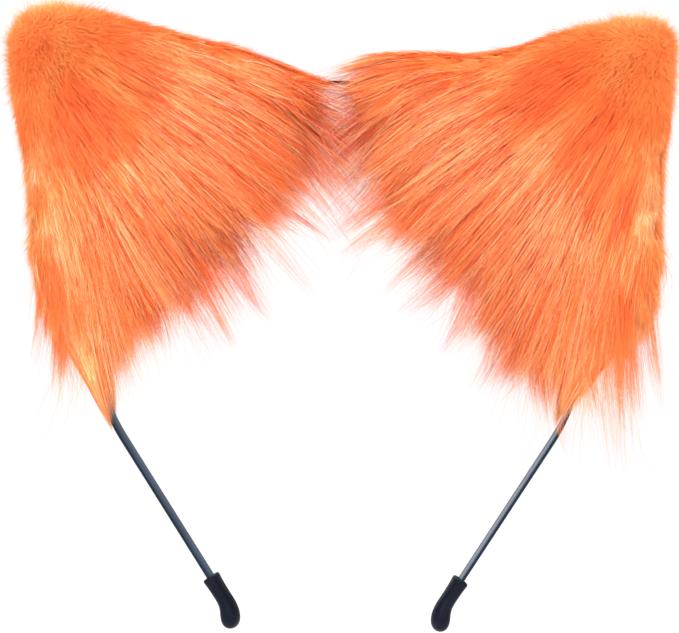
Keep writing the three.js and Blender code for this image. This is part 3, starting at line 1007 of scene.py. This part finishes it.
class Coat:
    """The pile on one face of an ear. facing is -1 for the front and 1 for the back."""

    def __init__(self, panel, facing, side, seed, amount, names):
        self.rng = np.random.default_rng(seed)
        self.facing, self.side, self.seed, self.amount = facing, side, seed, amount
        self.name, self.node, self.slot = names
        self.cut = CUTS[side]
        self.rim = shaped(np.insert(ear_rim(0), 1, 0, axis=1), side)[:, [0, 2]]
        points = shaped(panel[0], side)
        triangles = [(face[0], b, c) for face in panel[1] for b, c in zip(face[1:-1], face[2:])]
        self.corners = points[np.array(triangles)].transpose(1, 0, 2)

    def rooted(self, layer, count):
        """Random places on the outer side of the panel, with their normals."""
        a, b, c = self.corners
        cross = np.cross(b - a, c - a)
        area = np.linalg.norm(cross, axis=1)
        normals = cross / np.maximum(area, 1e-9)[:, None]
        at = Spots((a + b + c) / 3, self.rim)
        outer = ((at.places - EAR_CENTRE) * normals).sum(axis=1) > 0
        outer &= (normals[:, 1] * self.facing > TURNED_AWAY) & (at.y * self.facing > BEHIND_SEAM)
        weight = area * (outer * layer.density(at))
        chosen = self.rng.choice(len(area), count, p=weight / weight.sum())
        u, v = self.rng.random((2, count))
        over = u + v > 1
        u[over], v[over] = 1 - u[over], 1 - v[over]
        places = a[chosen] + (b - a)[chosen] * u[:, None] + (c - a)[chosen] * v[:, None]
        return Spots(places, self.rim), normals[chosen]

    def sprout(self, layer, amount=None, **cut):
        """The roots of a layer's fibres, their paths and their lengths."""
        at, normals = self.rooted(layer, int(layer.count * (amount or self.amount)))
        return at, *grow(at, normals, layer, self.cut._replace(**cut), self.rng)

    def clumped(self, layer, paths, length):
        """Fibres drawn to the tufts, or to a few of themselves, and each one's guide."""
        share = self.rng.uniform(*layer.shares, len(paths))
        few = slice(0, None, layer.each)
        guides = (paths[few], length[few]) if layer.each else self.tufts
        paths, _, guide = clump(paths, length, *guides, share, layer.power, layer.follow)
        return paths, guide

    def gathered(self, paths):
        """The low outer pile drawn into one lock that ends in a point."""
        roots = paths[:, 0]
        x, z = roots[:, 0], roots[:, 2]
        share = rise(x, 65, 70) * fall(x, 73, 85) * rise(-z, 16, 46)
        target = np.insert(self.cut.point, 1, MAIN_LOCK_DEPTH * self.facing)
        heading = (target - roots) * self.rng.uniform(0.55, 1.0, len(paths))[:, None]
        t = np.linspace(0, 1, paths.shape[1])
        line = roots[:, None] + heading[:, None] * t[None, :, None]
        line[..., 1] += np.sin(np.pi * t) * MAIN_LOCK_BULGE * self.facing
        pull = share[:, None] * rise(t, 0, 0.6)[None]
        return paths + (line - paths) * pull[..., None]

    def tinted(self, at, paths, tints):
        """Tints even at the tip, darker and redder towards the hem and in a few partings as painted shade,
        paler low on the outer side.
        """
        low_outer = rise(at.x, 56, 78) * rise(-at.z, 4, 40)
        tints = 0.5 + (tints - 0.5) * (0.3 + 0.7 * rise(at.from_tip, 36, 62))
        own_rng = np.random.default_rng(self.seed + 7)
        tints += 0.13 * soft_noise(at.places[:, [0, 2]] @ ALONG_FLOW, size=13, rng=own_rng)
        # painted shade: fibres rooted near the hem, low in the pile, are tinted darker and redder; the low
        # outer pile is paler
        tints += 0.22 * low_outer - 0.34 * fall(at.from_hem, 0, 17) * (1 - low_outer)
        middles = paths[:, paths.shape[1] // 2, [0, 2]]
        # painted shade: fibres whose middles lie in a parting patch are tinted towards a dark red
        for ear, patch_x, patch_z, across, along, strength in PARTING_SHADE_PATCHES:
            if ear == self.side:
                patch = np.array([patch_x, patch_z])
                offset, heading = middles - patch, patch - FAN_POINT
                heading /= np.linalg.norm(heading)
                ahead, beside = offset @ heading, offset @ np.array([heading[1], -heading[0]])
                parting_shade = strength * np.exp(-((ahead / along) ** 4) - (beside / across) ** 2)
                tints += parting_shade * (PARTING_SHADE_TINT - tints)
        return tints

    def lay(self, name, layer, paths, tints, root_shade=0.0):
        """Fibres as pieces that ride on the ear, as few as the size of one piece allows."""
        radius = self.rng.uniform(*layer.radius, len(paths))
        triangles_each = (layer.steps - 2) * 6 + 4
        parts = max(1, math.ceil(len(paths) * triangles_each / TRIANGLES_A_PIECE))
        for part in range(parts):
            chosen = slice(part, None, parts)
            label = f"{self.side}_{self.name}_{name}_{part + 1}"
            piece = fibre_mesh(label, paths[chosen], radius[chosen], tints[chosen], self.side, root_shade)
            rides(piece, self.side, self.node, "ear")

    def cover(self):
        """All the layers, from the long pile to the thinnest single hairs."""
        rng = self.rng
        _, locks, lock_length = self.sprout(LOCKS, amount=1)
        lock_tint = rng.normal(0.52, 0.2, len(locks))
        _, tufts, tuft_length = self.sprout(TUFTS, amount=1)
        drawn = {"share": 0.72, "power": 2.0, "follow": 0.6}
        *self.tufts, of_lock = clump(tufts, tuft_length, locks, lock_length, **drawn)
        tuft_tint = 0.5 * lock_tint[of_lock] + 0.5 * rng.normal(0.5, 0.2, len(tufts))

        # long pile
        at, paths, length = self.sprout(LONG)
        count = len(paths)
        share, follow = rng.uniform(0.5, 0.98, count), rng.uniform(0.2, 0.85, count)
        share *= 0.2 + 0.8 * rise(at.from_tip, 34, 58)
        paths, _, of_tuft = clump(paths, length, *self.tufts, share, power=1.3, follow=follow)
        paths = self.gathered(paths)
        tints = self.tinted(at, paths, 0.45 * tuft_tint[of_tuft] + 0.55 * rng.normal(0.5, 0.42, count))
        self.lay("long", LONG, paths, tints)

        # short plush at the tip and the rim, and under the long pile
        at, paths, _ = self.sprout(PLUSH)
        tints = 0.54 + 0.09 * soft_noise(at.places, size=9, rng=rng) + rng.normal(0, 0.09, len(paths))
        tints += 0.2 * rise(at.x, 60, 78) * rise(-at.z, 2, 30)
        self.lay("plush", PLUSH, paths, tints, PLUSH_ROOT_SHADE)

        # pale and dark single fibres that lie on the long pile: the pale ones are painted highlights and the
        # dark ones are painted shade between the tufts
        _, paths, length = self.sprout(ACCENTS)
        count = len(paths)
        paths = self.gathered(self.clumped(ACCENTS, paths, length)[0])
        painted_highlight = rng.random(count) < HIGHLIGHT_ACCENT_SHARE
        tints = np.where(painted_highlight, rng.uniform(0.8, 0.98, count), rng.uniform(0.0, 0.1, count))
        self.lay("accent", ACCENTS, paths, tints)

        # wisps that hang from the low outer corner
        _, paths, length = self.sprout(WISPS)
        paths, _ = self.clumped(WISPS, paths, length)
        self.lay("wisps", WISPS, paths, rng.uniform(0.3, 0.6, len(paths)))

        # thin redder locks that straggle below the hem
        _, paths, length = self.sprout(STRAGGLERS, inner=STRAGGLER_INNER)
        count = len(paths)
        paths, of_lock = self.clumped(STRAGGLERS, paths, length)
        lock_tint = rng.normal(0.34, 0.1, math.ceil(count / STRAGGLERS.each))
        self.lay("stragglers", STRAGGLERS, paths, lock_tint[of_lock] + rng.normal(0, 0.1, count))

        # fly-away guard hairs
        _, paths, length = self.sprout(GUARDS)
        paths, _ = self.clumped(GUARDS, paths, length)
        self.lay("guard", GUARDS, paths, rng.uniform(0.3, 0.95, len(paths)))

        # thin hairs at the inner end, which cross those of the other ear
        _, paths, _ = self.sprout(CROSSING)
        tints = rng.choice(CROSSING_TINTS, len(paths)) + rng.normal(0, 0.05, len(paths))
        self.lay("crossing", CROSSING, paths, tints)


# ---- felt sleeve and stitches
FELT_FROM, FELT_TO = 14, 64
FELT_HALF = 4.2
FELT_RINGS = 90
FELT_SOFT_END = 1.2
FELT_OVER = (1.1, 3.1)  # the upper felt, measured out from the strip's inner face
FELT_UNDER = (-1.8, 0.8)
GROOVE_HALF, GROOVE_FLOOR = 2.8, -0.3
STITCH_COUNT = 5
STITCH_MARGIN = 4
STITCH_BOX = (4.8, -2.4, 3.7)  # the thread's middle line: half width, bottom and top
STITCH_ROUNDING, STITCH_CORNER_POINTS = 1.1, 7
STITCH_POINTS = 120
THREAD_TURNS = 16
PLIES, PLY_OFFSET, PLY_RADIUS, PLY_SIDES = 2, 0.13, 0.16, 6


def rounded_corners(corners, radius, count=4):
    """A closed outline with its corners rounded."""
    points = []
    for i, corner in enumerate(corners):
        before, after = corners[i - 1] - corner, corners[(i + 1) % len(corners)] - corner
        start = corner + before / np.linalg.norm(before) * radius
        end = corner + after / np.linalg.norm(after) * radius
        for t in np.linspace(0, 1, count):
            points.append((1 - t) ** 2 * start + 2 * t * (1 - t) * corner + t * t * end)
    return np.array(points)


def felt_bar(name, section, side, node, seed):
    """A bar of felt along the band, with soft ends and a matted surface."""
    rng = np.random.default_rng(seed)
    first, last = (CROWN_RADIUS * math.radians(turn) for turn in (FELT_FROM, FELT_TO))
    distances = np.linspace(first, last, FELT_RINGS)
    middle = section.mean(axis=0)
    rings = []
    for distance in distances:
        from_end = min(distance - first, last - distance)
        size = 1 - 0.08 * float(fall(from_end, 0, FELT_SOFT_END))
        rings.append(bend_ring(distance, middle + (section - middle) * size))
    points, faces = loft(rings)
    lumps = 0.07 * soft_noise(points, size=2.2, rng=rng) + 0.05 * soft_noise(points, size=0.9, rng=rng)
    centre = np.array([0, 0, -CROWN_RADIUS])
    points = points + unit(points - centre) * lumps[:, None]
    points[:, 1] += 0.07 * soft_noise(points, size=1.7, rng=rng)
    piece = mesh_object(f"{side}_{name}", points, facing_out(points, faces), orange_felt, side)
    rides(piece, side, node, "ear")


def box_corners(half, low, high):
    """A box's corners (across, out), from one side round to the other."""
    return np.array([(half, low), (half, high), (-half, high), (-half, low)])


def make_felts(side):
    over = rounded_corners(box_corners(FELT_HALF, *FELT_OVER), radius=0.6)
    felt_bar("upper_felt", over, side, "base_felt", seed=5)
    low, high = FELT_UNDER
    bar, groove = box_corners(-FELT_HALF, high, low), box_corners(GROOVE_HALF, high, GROOVE_FLOOR)
    under = rounded_corners(np.concatenate([bar, groove]), radius=0.4)
    felt_bar("lower_felt", under, side, "under_felt", seed=6)


def tube(path, radius, sides):
    """A closed ring of tube round a closed path."""
    tangent = unit(np.roll(path, -1, axis=0) - np.roll(path, 1, axis=0))
    reference = unit(np.array([0.2, 0.1, 1.0]))
    across = unit(np.cross(tangent, reference))
    over = np.cross(tangent, across)
    turns = np.arange(sides) * 2 * math.pi / sides
    ring = across[:, None] * np.cos(turns)[None, :, None] + over[:, None] * np.sin(turns)[None, :, None]
    points = (path[:, None] + ring * radius).reshape(-1, 3)
    return points, ring_faces(len(path), sides, closed=True)


def make_stitch(side, number):
    """One lashing of two-ply twisted thread round the felts and the strip."""
    turn = FELT_FROM + STITCH_MARGIN
    turn += (FELT_TO - FELT_FROM - 2 * STITCH_MARGIN) * (number - 1) / (STITCH_COUNT - 1)
    distance = CROWN_RADIUS * math.radians(turn)
    loop = rounded_corners(box_corners(*STITCH_BOX), STITCH_ROUNDING, STITCH_CORNER_POINTS)
    steps = np.linalg.norm(np.roll(loop, -1, axis=0) - loop, axis=1)
    along = np.concatenate([[0], np.cumsum(steps)])
    closed = np.concatenate([loop, loop[:1]])
    places = np.linspace(0, along[-1], STITCH_POINTS, endpoint=False)
    section = np.stack([np.interp(places, along, closed[:, i]) for i in range(2)], axis=1)
    heading = np.roll(section, -1, axis=0) - np.roll(section, 1, axis=0)
    heading /= np.linalg.norm(heading, axis=1)[:, None]
    aside = np.stack([heading[:, 1], -heading[:, 0]], axis=1)
    twist = places / along[-1] * 2 * math.pi * THREAD_TURNS
    pieces, total = [], 0
    for ply in range(PLIES):
        angle = twist + math.pi * ply
        wound = section + PLY_OFFSET * np.cos(angle)[:, None] * aside
        shift = PLY_OFFSET * np.sin(angle)
        path = np.concatenate([bend_ring(distance + d, wound[i:i + 1]) for i, d in enumerate(shift)])
        points, faces = tube(path, PLY_RADIUS, PLY_SIDES)
        pieces.append((points, [tuple(i + total for i in face) for face in faces]))
        total += len(points)
    points = np.concatenate([piece[0] for piece in pieces])
    faces = [face for _, ply_faces in pieces for face in facing_out(points, ply_faces)]
    stitch = mesh_object(f"{side}_lashing_{number}", points, faces, sewing_thread, side)
    rides(stitch, side, f"stitch_{number}", "ear")


# ---- making it all
make_studio()
for side in SIDES:
    make_strip(side)
    make_cap(side)
    make_felts(side)
    for number in range(1, STITCH_COUNT + 1):
        make_stitch(side, number)

front_panel = front_panel_shape()
back_panel = back_panel_shape()
padding = padding_shape()
for side, seed in (("left", 11), ("right", 23)):
    padded_piece("front_panel", front_panel, fur_backing, side, "front_fur")
    padded_piece("back_panel", back_panel, fur_backing, side, "back_fur")
    padded_piece("padding", padding, fibre_filling, side, "ear_padding")
    Coat(front_panel, -1, side, seed, 1.0, ("front_pile", "front_fur", "ear_fur")).cover()
    Coat(back_panel, 1, side, seed + 100, BACK_AMOUNT, ("back_pile", "back_fur", "back_fur")).cover()

for side in SIDES:
    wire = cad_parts[f"{side}_rim_wire"]
    wire.data.materials.clear()
    wire.data.materials.append(galvanised_wire)
